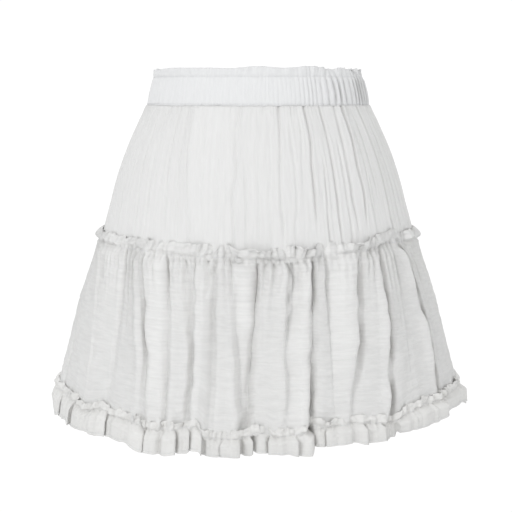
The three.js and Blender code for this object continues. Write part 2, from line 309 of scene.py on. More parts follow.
def waistband_surface(across, down):
    """Where the band's cloth lies: even casing in front on the left, close gathers towards the right."""
    angle = -90 + 360 * across
    level = np.interp(down, [0, CASING_ROW, 1], [HEADING_EDGE, CASING_TOP, CASING_FOOT])
    wrap = angle * girth(0)
    still = wrap * 0
    sine = np.sin(np.radians(angle))
    right = np.clip(sine, 0, 1)
    tight = 0.15 + 0.9 * smooth_share(np.sin(np.radians(angle - 10)), 0.08, 0.62)
    tight = np.clip(tight + 0.15 * soft_noise(wrap / 50, still, 12), 0.12, 1.1)
    wander = 0.35 * soft_noise(wrap / 15, level / 22, 14)
    count = np.interp(angle + wander, gather_angles, gather_count)
    seen_along = smooth_share(sine, 0.68, 0.88)
    wave = np.abs(np.sin(np.pi * count)) ** (0.75 + 0.2 * seen_along)
    fine = np.exp(-np.abs(soft_noise(wrap / 5.2, level / 40, 13)) / 0.35)
    uneven = 0.95 + 0.3 * soft_noise(np.floor(count) * 0.73, still, 18)
    casing = smooth_share(level, CASING_FOOT, CASING_FOOT + 5)
    casing = casing * (1 - smooth_share(level, CASING_TOP - 5, CASING_TOP))
    gathered = (0.45 + 0.55 * casing) * tight * uneven * (1 + 0.7 * right)
    out = 0.5 * casing + gathered * (GATHER_DEPTH * wave - 2.0) - 0.5 * fine * (0.35 + tight)
    top_dent = np.exp(-(((level - CASING_TOP) / 1.3) ** 2))
    foot_dent = np.exp(-(((level - CASING_FOOT - 2) / 1.2) ** 2))
    out -= 0.9 * top_dent + 0.15 * foot_dent
    rise = np.clip((level - CASING_TOP) / (HEADING_EDGE - CASING_TOP), 0, 1)
    phase = math.tau * (wrap / HEADING_WAVE + 0.35 * soft_noise(wrap / 24, still, 15))
    swing = np.sin(phase) * (0.35 + 0.7 * tight)
    curl = soft_noise(wrap / 9, still, 16)
    turned = right**3
    out += rise * (1.9 * swing * (1 - 0.45 * turned) + 0.9 * curl * tight - 1.2 - 3.2 * turned)
    along = rise * (1.3 * np.sin(2 * phase + 0.8) + 0.7 * curl) * tight
    along += smooth_share(sine, 0.45, 0.95) * gathered * GATHER_DEPTH * (1 - wave)
    edge = 0.8 * soft_noise(wrap / 24, still, 17) + 0.5 * swing * tight + 0.5 * curl * tight
    level = level + rise * (edge - 0.7 - 1.2 * sine**2)
    places = place(np.where(across >= 1 - 1e-9, -90, angle), level, out, along)
    return places, np.stack([across * WAIST_TURN * STRIP_FULLNESS, -down * STRIP_DROP], axis=-1)


def closed_ring(surface):
    """The same surface with its last column brought back to its first, over a short stretch."""

    def joined(across, down):
        places, cut = surface(across, down)
        start, _ = surface(np.zeros_like(across), down)
        end, _ = surface(np.ones_like(across), down)
        near = smooth_share(across, 0.985, 1.0)[:, None]
        return places + near * (start - end), cut

    return joined


def thread_material():
    """White cotton thread: two plies twisted together, a little uneven in tone."""
    made = bpy.data.materials.new("sewing thread")
    made.use_nodes = True
    tree = made.node_tree
    thread = tree.nodes["Principled BSDF"]
    thread.inputs["Roughness"].default_value = 0.75
    thread.inputs["Specular IOR Level"].default_value = 0.3
    place_node = tree.nodes.new("ShaderNodeTexCoord")
    fibres = tree.nodes.new("ShaderNodeTexNoise")
    fibres.inputs["Scale"].default_value = 1600
    fibres.inputs["Detail"].default_value = 3
    tree.links.new(place_node.outputs["Object"], fibres.inputs["Vector"])
    tone = tree.nodes.new("ShaderNodeMapRange")
    tone.inputs["To Min"].default_value = 0.62
    tone.inputs["To Max"].default_value = 0.7
    tree.links.new(fibres.outputs["Fac"], tone.inputs["Value"])
    tree.links.new(tone.outputs["Result"], thread.inputs["Base Color"])
    bump = tree.nodes.new("ShaderNodeBump")
    bump.inputs["Distance"].default_value = 0.1 * MM
    tree.links.new(fibres.outputs["Fac"], bump.inputs["Height"])
    tree.links.new(bump.outputs["Normal"], thread.inputs["Normal"])
    return made


thread = thread_material()
STITCH_THICK = 0.42  # half a stitch's thickness, and the longest stitch, in millimetres
LONGEST_STITCH = 3


def stitch_row(name, surface, down, count):
    """A row of lock stitches on a cloth piece's surface, at a share of the way down it."""
    share = (np.arange(2 * count) + 0.5) / (2 * count)
    points, _ = surface(share, np.full_like(share, down))
    shape = bmesh.new()
    for k in range(0, 2 * count - 1, 2):
        start, end = Vector(points[k]), Vector(points[k + 1])
        middle, way = (start + end) / 2, end - start
        out = Vector((middle.x, middle.y, 0)).normalized()
        turn = way.to_track_quat("X", "Z").to_matrix().to_4x4()
        half_long = 0.58 * min(way.length, LONGEST_STITCH) + 0.2
        size = Matrix.Diagonal((half_long, STITCH_THICK, STITCH_THICK, 1))
        at = Matrix.Translation((middle + 0.25 * out) * MM) @ turn @ size @ Matrix.Scale(MM, 4)
        bmesh.ops.create_icosphere(shape, subdivisions=1, radius=1, matrix=at)
    for face in shape.faces:
        face.smooth = True
    mesh = bpy.data.meshes.new(name)
    shape.to_mesh(mesh)
    shape.free()
    row = bpy.data.objects.new(name, mesh)
    bpy.context.collection.objects.link(row)
    mesh.materials.append(thread)
    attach(row, "root")
    return row


waistband = cloth_piece(
    "waistband_cloth",
    columns=1200,
    rows=25,
    surface=closed_ring(waistband_surface),
    thickness=1.4,
    ring=True,
)
band_gauze = gauze_material("waistband gauze", 420, 45, 0.35, (0.701, 0.698, 0.691))
waistband.data.materials.append(band_gauze)
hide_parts("waistband")
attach(waistband, "root")
band_rows = [
    stitch_row("waistband_top_stitches", waistband_surface, CASING_ROW, 210),
    stitch_row("waistband_foot_stitches", waistband_surface, FOOT_ROW, 215),
]


# Upper tier: a front and a back panel of gauze, joined at the side seams and sewn to the band's foot. The
# gauze is crinkled lengthwise, so it falls in many fine creases that spread a little towards the foot.
TIER_SEAM = -152
TIER_COVER = 4  # how far the tier's foot runs on behind the next one
UNDER_BAND = 0.4  # how far below the band's foot it starts
UPPER_LENGTH = 150
HALF_TURN = 470  # millimetres round one panel, half way down
UPPER_CUT = (510, 146)  # width and height that each panel was cut to
GAUZE_THICK = 0.7

# Creases of the front: angle at the foot and at the waist in degrees, depth, half width, and the shares of
# the way down where the crease starts and ends.
CREASE_COLUMNS = ("foot", "top", "depth", "groove", "start", "end")
UPPER_CREASES = (
    (-84, -86, 0.9, 2.2, 0.0, 1.0),
    (-77, -80, 1.3, 2.4, 0.0, 1.1),
    (-69.5, -74, 0.8, 2.2, 0.1, 0.9),
    (-63, -68, 1.1, 2.4, 0.0, 1.1),
    (-57, -62, 0.8, 2.0, 0.0, 0.8),
    (-50, -56, 1.0, 2.2, 0.05, 1.0),
    (-44, -50, 1.1, 2.4, 0.05, 0.8),
    (-35, -41, 1.2, 2.4, 0.05, 0.8),
    (-29, -36, 0.8, 2.0, 0.2, 1.1),
    (-24, -33, 1.4, 2.6, 0.0, 1.1),
    (-19, -25, 0.7, 2.0, 0.0, 0.7),
    (-14, -17, 0.8, 2.2, 0.2, 1.1),
    (-8.5, -9.6, 1.9, 2.2, -0.1, 1.2),
    (-4.2, -5.4, 1.3, 1.9, 0.4, 1.2),
    (0.4, 0.0, 0.9, 2.0, 0.0, 0.9),
    (4.6, 4.6, 0.8, 1.8, 0.1, 1.1),
    (8.8, 9.4, 1.9, 2.2, -0.1, 0.85),
    (13.6, 14.5, 0.9, 2.0, 0.2, 1.1),
    (17.4, 18.6, 0.8, 1.8, -0.1, 0.6),
    (21.3, 23, 2.1, 2.2, -0.1, 0.75),
    (26.2, 27.5, 1.2, 2.0, 0.4, 1.2),
    (31.3, 31.0, 1.9, 2.2, -0.1, 0.95),
    (35.4, 36, 1.0, 1.8, 0.3, 1.1),
    (38.2, 39.5, 1.7, 2.1, 0.05, 0.85),
    (43, 46, 2.6, 2.3, -0.1, 0.8),
    (47.6, 49, 1.1, 1.8, 0.2, 1.1),
    (52.4, 51.5, 1.5, 2.0, 0.05, 0.6),
    (58.6, 58, 2.4, 2.2, 0.0, 1.05),
    (62.2, 61.5, 1.0, 1.8, 0.3, 1.2),
    (65.3, 64, 1.9, 2.1, 0.2, 1.0),
    (70, 69, 1.6, 2.1, -0.1, 0.8),
    (75, 74, 1.9, 2.2, 0.0, 1.1),
    (80.5, 80, 1.4, 2.2, 0.1, 1.0),
    (86, 86, 1.2, 2.2, 0.0, 1.1),
)


# How far the seam between the tiers rides up round the front, in millimetres.
SEAM_LIFT = (
    (-90, 0),
    (-60, 0),
    (-41, 3),
    (-24, 3.5),
    (-9, 6),
    (4, 3),
    (21, 5.5),
    (30, 4.5),
    (45, 8),
    (60, 6),
    (75, 3),
    (90, 0),
)


def round_front(angle, table):
    """A table of angles and lengths read round the front, and round the back as if seen from behind."""
    return np.interp(np.where(angle > 90, 180 - angle, angle), *np.array(table).T)


def leaning(foot, down, angles):
    """The angle of a thread at a share of the way down, where the folds lean or bow."""
    feet, middles, tops = angles
    top, middle = np.interp(foot, feet, tops), np.interp(foot, feet, middles)
    bow = middle - (top + foot) / 2
    return top + (foot - top) * down + 4 * bow * down * (1 - down)


def side_pinned(feet, middles, tops, first):
    """A table's angles at the foot, half way and at the top, with the two side seams added. Those don't
    lean."""
    return [[first, *column, first + 180] for column in (feet, middles, tops)]


def upper_out(foot, down, level, creases, seed):
    """How far the upper tier's cloth stands out from the form."""
    run = foot * girth(level)
    out = np.zeros_like(foot)
    for crease in creases:
        row = dict(zip(CREASE_COLUMNS, crease))
        wander = 0.9 * soft_noise(np.full_like(down, row["foot"] * 7.3), down * 5, seed + 1)
        across = ((foot - row["foot"]) * girth(level) + wander) / (0.72 * row["groove"])
        near = np.abs(across) < 4
        length = smooth_share(down, row["start"] - 0.12, row["start"] + 0.05)
        length = length * (1 - smooth_share(down, row["end"] - 0.15, row["end"] + 0.1))
        rims = 0.16 * np.exp(-((np.abs(across) - 1.6) ** 2) * 1.8)
        groove = rims - np.exp(-2.1 * np.sqrt(across**2 + 0.03))
        in_front = foot < 120
        deeper = 1 + 1.1 * smooth_share(foot, 0, 25) * in_front
        deeper = deeper + 0.7 * smooth_share(foot, 48, 60) * in_front
        out += np.where(near, deeper * row["depth"] * length * groove, 0)
    spread = foot * 2.4
    lines = np.exp(-np.abs(soft_noise(spread / 6.5, down * 2.2 + 7, seed + 2)) / 0.26)
    finer = soft_noise(spread / 2.1, down * 6.5, seed + 3)
    out -= 0.55 * lines * (0.75 + 0.45 * soft_noise(spread / 40, down * 3, seed + 4)) + 0.13 * finer
    out += 0.3 * soft_noise(run / 34, down * 1.4, seed + 5)
    puffs = 1 - 1.6 * np.abs(soft_noise(spread / 3.6, down * 1.2, seed + 6))
    below = down * UPPER_LENGTH
    out += (0.9 + 0.9 * puffs) * np.exp(-below / 11) * smooth_share(below, -3, 3)
    return out - 0.1


def upper_surface(first, creases, seed):
    """Where the cloth of the upper panel lies whose first side seam is at the angle first."""
    feet, tops = ([row[k] for row in creases] for k in (0, 1))
    middles = [(foot + top) / 2 for foot, top in zip(feet, tops)]
    angles = side_pinned(feet, middles, tops, first)
    foot_level = TIER_SEAM - TIER_COVER

    def surface(across, down):
        foot = first + 180 * across
        level = CASING_FOOT + UNDER_BAND + (foot_level - CASING_FOOT - UNDER_BAND) * down
        angle = leaning(foot, down, angles)
        out = upper_out(foot, down, level, creases, seed)
        covered = smooth_share(level, TIER_SEAM + 16, TIER_SEAM + 3)
        out -= 0.8 * covered
        seam = np.exp(-((np.minimum(across, 1 - across) * HALF_TURN / 2.5) ** 2))
        out -= 0.5 * seam
        out = np.where((across < 1e-9) | (across > 1 - 1e-9), -0.9, out)
        level = level + round_front(foot, SEAM_LIFT) * smooth_share(down, 0.3, 1)
        cut_wide, cut_high = UPPER_CUT
        return place(angle, level, out), np.stack([across * cut_wide, -down * cut_high], axis=-1)

    return surface


DEEPEST_BEHIND = 11  # the deepest fold at the back


def turned_back(table, angle_columns, depth_columns, rng_seed):
    """A front table turned over to the back, with its rows' depths a little uneven."""
    shares = np.random.default_rng(rng_seed).uniform(0.75, 1.25, len(table))
    rows = []
    for row, share in zip(table, shares):
        angles = [180 - angle for angle in row[:angle_columns]]
        rest = angle_columns + depth_columns
        depths = [min(depth * share, DEEPEST_BEHIND) for depth in row[angle_columns:rest]]
        rows.append((*angles, *depths, *row[rest:]))
    return tuple(sorted(rows))


upper_gauze = gauze_material("upper tier gauze", 330, 32, 0.42)
for side, first, creases, seed in (
    ("front", -90, UPPER_CREASES, 20),
    ("back", 90, turned_back(UPPER_CREASES, 2, 1, 4), 40),
):
    tier = upper_surface(first, creases, seed)
    name = "upper_tier_" + side + "_cloth"
    panel = cloth_piece(name, columns=500, rows=60, surface=tier, thickness=GAUZE_THICK)
    panel.data.materials.append(upper_gauze)
    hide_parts("upper_tier_" + side)
    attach(panel, "root")


# Lower tier: a front and a back panel, cut wider and gathered onto the foot of the upper tier. The cloth above
# the gathering stitches stands out as a crumpled frill, and below them it falls in large soft folds.
TIER_FRILL = 11.5
TIER_FRILL_SHARE = 0.125  # the frill's share of the panel's rows
HEM_SEAM = -305
TIER_OUT = 1.6  # how far the gathering stitches lie outside the form
TIER_CUT = 760  # width that each panel was cut to
CREST = 3.6  # how far the tier stands out from the form, and how far more between its folds
ARCH = 1.1
TIER_WAVE = 12.5  # the frill's wave length, and how far its waves swing
TIER_SWING = 2.9
TIER_GATHERS = 6  # millimetres from one fine gather to the next

# How far the hem seam hangs below HEM_SEAM round the front, in millimetres.
HEM_DROP = (
    (-90, 0),
    (-62, 1),
    (-54, 7),
    (-46, 0),
    (-43, 4),
    (-33, 6),
    (-31, 10),
    (-23, 8),
    (-20, 5),
    (-15.8, 2),
    (-13.8, 12),
    (-3.2, 12),
    (-1.2, 7),
    (2.2, 7),
    (4, 11),
    (12, 7),
    (13.8, 0),
    (18, 3),
    (28, 3),
    (34, 6),
    (38, 9),
    (42, 3),
    (50, -2),
    (62, -1),
    (80, -2),
    (90, 0),
)

# Folds of the front: angle at the hem, half way and at the seam, depth near the hem, half way and near the
# seam, half width of the groove, how far the cloth on its left laps over it, and the ridge on its right.
FOLD_COLUMNS = ("foot", "waist", "top", "hem", "middle", "seam", "groove", "lap", "ridge")
LOWER_FOLDS = (
    (-81, -82, -84, 1, 1, 1, 6, 1, 0),
    (-73, -76, -80, 1.2, 1, 1, 6, 1, 0),
    (-55, -60, -70, 1.2, 1.4, 2.5, 4, 0.5, 0),
    (-46, -46.5, -52, 1, 2, 4.5, 6, 0, 0),
    (-30.5, -35, -42.5, 3.5, 4.5, 2.5, 7, -3, 4),
    (-26.5, -28, -33.5, 3.5, 4.5, 7, 5, 2.5, 2),
    (-19.8, -20.5, -24.4, 3.5, 5.5, 4, 6.5, 1, 5),
    (-13.5, -14, -15.4, 2, 3, 7, 6, 2, 3.5),
    (-5, -6.3, -8.7, 10, 8, 4, 9, 1, 0.5),
    (-3.2, -2.6, -1.3, 0, 7, 12, 7, 4, 1.5),
    (8, 8, 9.2, 0, 7, 11, 7, 3, 0.5),
    (12.6, 15.5, 18.6, 16, 14, 10, 7.5, 5, 1.5),
    (20.5, 21.5, 23, 0.5, 1, 5, 5, 0, 0),
    (25, 30, 36.5, 5, 19, 10, 7.5, 5, 1),
    (36.5, 42, 45, 10, 20, 9, 7.5, 4, 1.5),
    (47, 50, 52, 0.5, 1.5, 5.5, 5, 2, 0),
    (58.5, 61, 57, 14, 19, 15, 8.5, 4, 2),
    (67, 67, 64, 0, 0.5, 8, 6, 2, 0),
    (78, 77, 77, 1, 7, 10, 9, 2, 1),
)


def large_folds(foot, level, down, folds):
    """How far the large folds move the cloth out and along."""
    out, along = np.zeros_like(foot), np.zeros_like(foot)
    for fold in folds:
        row = dict(zip(FOLD_COLUMNS, fold))
        depths = [0.75 * row["seam"], row["seam"], row["middle"], row["hem"]]
        depth = np.interp(down, [0, 0.12, 0.5, 1], depths)
        still = np.full_like(level, row["foot"] * 1.37)
        wobble = 0.9 * soft_noise(still, level / 36, 71) + 0.7 * soft_noise(still, level / 11, 72)
        wobble = wobble * smooth_share(down, 0, 0.15)
        across = ((foot - row["foot"]) * girth(level) + wobble) / row["groove"]
        way = -1 if row["lap"] < 0 else 1
        across = across * way
        depth = depth * np.clip(0.88 + 0.42 * soft_noise(still, level / 26, 73), 0.25, 1.25)
        steep = np.exp(-((across / 0.2) ** 2))
        behind = 0.68 * np.exp(-((across / 0.9) ** 4)) + 0.32 * np.exp(-((across / 2.1) ** 2))
        groove = np.where(across < 0, steep, behind)
        out -= 0.85 * depth * groove
        side = min(row["foot"], 180 - row["foot"])
        open_to_front = 0.55 * math.tan(math.radians(min(side, 58))) if side > 30 else 0
        along += math.copysign(open_to_front, 90 - row["foot"]) * 0.85 * depth * groove
        strength = depth / max(row["seam"], row["middle"], row["hem"])
        lapped = np.where(across < 0, np.exp(-((across / 0.8) ** 2)), np.exp(-((across / 0.22) ** 2)))
        along += row["lap"] * strength * lapped
        out += row["ridge"] * strength * np.exp(-(((across - 1.75) / 0.7) ** 2))
        out += 0.2 * depth * np.exp(-(((across + 0.6) / 0.55) ** 2))
        along -= way * 0.5 * row["ridge"] * strength * np.exp(-(((across - 1.2) / 0.4) ** 2))
    return out, along


def crest_arch(foot, folds, first):
    """The rounding of the cloth between one large fold and the next, from 0 at the folds to 1."""
    edges = np.array([first, *(fold[0] for fold in folds if max(fold[3:6]) > 4), first + 180])
    span = np.clip(np.searchsorted(edges, foot, side="right") - 1, 0, len(edges) - 2)
    share = (foot - edges[span]) / (edges[span + 1] - edges[span])
    return np.sqrt(np.maximum(np.sin(np.pi * share), 0))


def fine_gathers(run, below, pitch, seed):
    """Small pleats that the gathering stitches draw up, each with its own depth and reach downwards."""
    rng = np.random.default_rng(seed)
    sizes = 64
    depths, reaches = 3 + 8 * rng.uniform(0, 1, sizes) ** 1.3, rng.uniform(7, 36, sizes)
    count = run / pitch + 0.24 * soft_noise(run / (2.7 * pitch), run * 0, seed)
    count += 0.12 * soft_noise(run / 20, below / 9, seed + 3)
    nearest = np.rint(count).astype(int)
    valley = np.exp(-((np.abs(count - nearest) * pitch / 1.5) ** 1.5))
    depth, reach = depths[nearest % sizes], reaches[nearest % sizes]
    sunk = depth * valley * np.exp(-below / reach) * (0.4 + 0.6 * smooth_share(below, 0, 4))
    return 2.4 * (np.exp(-below / 14) - np.exp(-below / 3)) - sunk


def frill_shape(run, rise, below, height, wave_length, swing, lean, calm, seed):
    """A crumpled frill over its stitches: how far out, along and up the cloth goes at a share of the frill's
    height. Its waves run on through the stitches and die out below them. Where calm is 1 it has none. It
    leans out by the share of lean."""
    still = run * 0
    phase = math.tau * (run / wave_length + 0.32 * soft_noise(run / (1.7 * wave_length), still, seed))
    strong = 0.85 + 0.45 * soft_noise(run / (1.9 * wave_length), still, seed + 1)
    bend = np.clip(-0.1 + 1.5 * soft_noise(run / (1.5 * wave_length), still, seed + 2), -0.5, 2.5)
    bend = bend * lean
    bend = np.where(np.abs(bend) < 0.05, 0.05, bend)
    bend = bend + (-0.12 - bend) * calm
    bend = np.where(np.abs(bend) < 0.02, 0.02, bend)
    swing = swing * (1 - 0.9 * calm) * (0.5 + 0.5 * lean)
    tall = height * (1 + 0.13 * soft_noise(run / (0.6 * wave_length), still, seed + 3))
    puff = height * (0.13 + 0.12 * soft_noise(run / (0.9 * wave_length), still, seed + 6))
    out = tall * (1 - np.cos(bend * rise)) / bend + puff * np.sin(np.pi * rise**0.6) ** 0.8
    up = tall * np.sin(bend * rise) / bend
    opened = np.where(rise > 0, 0.2 + 0.8 * rise**0.6, 0.2 * np.exp(-below / 6))
    wave = np.sin(phase) + 0.3 * np.sin(2.37 * phase + 1.3)
    out = out + opened * swing * strong * wave
    along = opened * swing * 0.45 * strong * np.sin(2 * phase + 0.9)
    along = along + rise * 0.25 * height * soft_noise(run / (1.7 * wave_length), still, seed + 4)
    along = along * (1 - calm)
    up = up - rise * 0.1 * height * np.abs(np.sin(phase)) * strong
    loose = smooth_share(rise, 0, 0.4) * (1 - 0.6 * calm)
    out = out + 0.11 * height * loose * soft_noise(run / 4.1, rise * 2.1, seed + 7)
    along = along + 0.06 * height * loose * soft_noise(run / 3.7, rise * 1.6, seed + 8)
    up = up + 0.05 * height * loose * soft_noise(run / 3.3, still, seed + 9)
    near = np.exp(-below / 5) * np.exp(-rise / 0.6)
    out = out + 1.2 * soft_noise(run / 3.4, rise * 2.5 - below / 6, seed + 5) * near
    return out, along, up


def side_puff(rise, stand):
    """How far the frill bulges out where it turns over a side seam."""
    return stand * np.abs(np.sin(np.pi * rise**0.7)) ** 0.7 - 0.7 * rise


def lower_out(foot, level, down, folds, first, seed):
    """How far the lower tier's cloth stands out and is moved along, below its stitches."""
    below = np.maximum(TIER_SEAM - level, 0)
    run = foot * 3.1
    beside = smooth_share(np.abs(np.sin(np.radians(foot))), 0.85, 1)
    swell = smooth_share(below, 0, 11 + 50 * beside)
    fold_out, fold_along = large_folds(foot, level, down, folds)
    arch = crest_arch(foot, folds, first)
    out = swell * ((CREST + ARCH * arch) * (1 - 0.3 * down) + fold_out)
    hang = 0.9 * soft_noise(run / 22, down * 1.7, seed) + 0.5 * soft_noise(run / 10, down * 2.4, seed + 1)
    out += swell * hang
    out += 0.3 * soft_noise(run / 15, level / 3.1, seed + 5) * swell
    hem_pull = np.exp(-np.maximum(level - HEM_SEAM, 0) / 7)
    out += 0.9 * hem_pull * soft_noise(run / 4.5, run * 0, seed + 6)
    sides = smooth_share(foot, first, first + 3) * (1 - smooth_share(foot, first + 177, first + 180))
    return out * sides + (CREST * swell - 0.5) * (1 - sides), fold_along * swell * sides


def fold_angles(folds, first):
    """The large folds' angles down the tier, with the side seams."""
    feet, middles, tops = ([row[k] for row in folds] for k in (0, 1, 2))
    return side_pinned(feet, middles, tops, first)


def lower_surface(first, folds, seed):
    """Where the cloth of the lower panel lies, frill and folds."""
    angles = fold_angles(folds, first)
    shares = [0, TIER_FRILL_SHARE, 0.33, 1]
    levels = [TIER_SEAM, TIER_SEAM, TIER_SEAM - 23, HEM_SEAM - 2]

    def surface(across, down):
        foot = first + 180 * across
        level = np.interp(down, shares, levels)
        share = np.clip((TIER_SEAM - level) / (TIER_SEAM - HEM_SEAM), 0, 1)
        angle = leaning(foot, share, angles)
        out, along = lower_out(foot, level, share, folds, first, seed)
        rise = np.clip(1 - down / TIER_FRILL_SHARE, 0, 1)
        below = np.maximum(TIER_SEAM - level, 0)
        run = leaning(foot, 0, angles) * girth(TIER_SEAM)
        inside = smooth_share(np.minimum(across, 1 - across), 0, 0.02)
        gathered = fine_gathers(run, below, TIER_GATHERS, seed + 2) * inside
        out += gathered * (1 - 0.85 * smooth_share(rise, 0, 0.35))
        dimple = np.clip(0.55 + 1.1 * soft_noise(run / 4.2, run * 0, seed + 17), 0, 1.9)
        out -= dimple * np.exp(-(((rise * TIER_FRILL + below) / 1.9) ** 2))
        bead = np.clip(0.5 + 1.2 * soft_noise(run / 2.7, run * 0, seed + 18), 0, 1.8)
        out += bead * np.exp(-(((below - 2.6) / 1.5) ** 2)) * (rise == 0)
        calm = smooth_share(np.abs(across - 0.5), 0.4, 0.47)
        lean = 1 - 0.85 * smooth_share(np.abs(np.sin(np.radians(foot))), 0.3, 0.65)
        frill = frill_shape(run, rise, below, TIER_FRILL, TIER_WAVE, TIER_SWING, lean, calm, seed + 10)
        frill_out, frill_along, frill_up = frill
        sides = smooth_share(across, 0.005, 0.05) * (1 - smooth_share(across, 0.95, 0.995))
        out = TIER_OUT + out + sides * frill_out + (1 - sides) * side_puff(rise, 6.5)
        along = along + sides * frill_along
        frill_up = frill_up * sides + (1 - sides) * rise * (TIER_FRILL + 1.5)
        cut_down = np.where(rise > 0, rise * TIER_FRILL, -below * 1.05)
        level = level + round_front(foot, SEAM_LIFT) * (1 - smooth_share(below, 0, 80))
        level = level - round_front(foot, HEM_DROP) * smooth_share(below, 70, TIER_SEAM - HEM_SEAM)
        places = place(angle, level + frill_up, out, along)
        return places, np.stack([across * TIER_CUT, cut_down], axis=-1)

    return surface


# Painted light: the lower tier's gauze has a lighter tint than the same gauze of the upper tier, making up for
# the shade that falls on it.
lower_gauze = gauze_material("lower tier gauze", 42, 340, 0.8, (0.757, 0.748, 0.728), 0.91)
BACK_FOLDS = turned_back(LOWER_FOLDS, 3, 3, 6)
for side, first, folds, seed in (("front", -90, LOWER_FOLDS, 60), ("back", 90, BACK_FOLDS, 90)):
    tier = lower_surface(first, folds, seed)
    name = "lower_tier_" + side + "_cloth"
    panel = cloth_piece(name, columns=640, rows=72, surface=tier, thickness=GAUZE_THICK)
    panel.data.materials.append(lower_gauze)
    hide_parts("lower_tier_" + side)
    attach(panel, "root")
    rows = [stitch_row("tier_seam_stitches_" + side, tier, TIER_FRILL_SHARE, 155)]


# Hem flounce: two narrow strips of gauze with a rolled foot, gathered onto the hem of the lower tier. They have
# a small frill above the stitches and box-like folds below them, and swing in and out with the tier's folds.
HEM_FRILL = 8
HEM_FRILL_SHARE = 0.22
EDGE_ROW_SHARE = 0.92  # the share of the rows at which the rolled edge is stitched
FLOUNCE_FOOT = -331
FLOUNCE_FALL = 30  # how far the flounce falls from its stitches
FLOUNCE_CUT = 860  # width that each strip was cut to, and its height below the stitches
FLOUNCE_CUT_DOWN = 32
FLOUNCE_OUT = 1.3  # how far its stitches lie outside the tier's
HEM_WAVE = 9.5  # the frill's wave length, and how far its waves swing
HEM_SWING = 3.2
HEM_GATHERS = 5.4

# Folds of the front: angle, depth, half width of the groove, lap, how far the cloth after the fold stands out,
# and how much higher its foot is than FLOUNCE_FOOT.
PLEAT_COLUMNS = ("foot", "depth", "groove", "lap", "crest", "rise")
FLOUNCE_PLEATS = (
    (-90, 1, 4, 0, 4, 0),
    (-70, 1.2, 3, 4, 4.5, 3),
    (-60.5, 1.2, 3, 5, 5, 0),
    (-44.5, 2, 3, 5, 5, 1.5),
    (-31.8, 2, 3, 5, 5.5, -6),
    (-21.9, 4, 3, 4.5, 5, -4),
    (-17.8, 2.5, 3, 3, 4.5, 0),
    (-14.5, 5, 3.5, 3, 6.5, -4),
    (-8.8, 2, 2.5, -3, 6.5, -3),
    (-5, 5, 3, 2, 5, -3),
    (-2.0, 8, 4.5, 4, 3.5, 0),
    (3, 3, 2.5, -3, 6.5, -1),
    (9.6, 2.5, 2.5, 3, 6.5, -3),
    (12.8, 9, 6, 5, 4, 4),
    (18, 2.5, 2.5, -3, 5, 5),
    (28.6, 4, 3, 3, 4, 3),
    (34, 6, 3, 3.5, 4.5, 3),
    (39.3, 3, 3, -3, 6.5, 8),
    (58.5, 9, 6, 5.5, 5, 12),
    (80, 2, 4, 3, 9, 8),
)


def flounce_back(pleats, rng_seed):
    """The front's pleats carried half round to the back, a little uneven."""
    shares = np.random.default_rng(rng_seed).uniform(0.8, 1.2, len(pleats))
    return tuple(
        (row[0] + 180, row[1] * share, *row[2:5], 0.6 * row[5]) for row, share in zip(pleats, shares)
    )


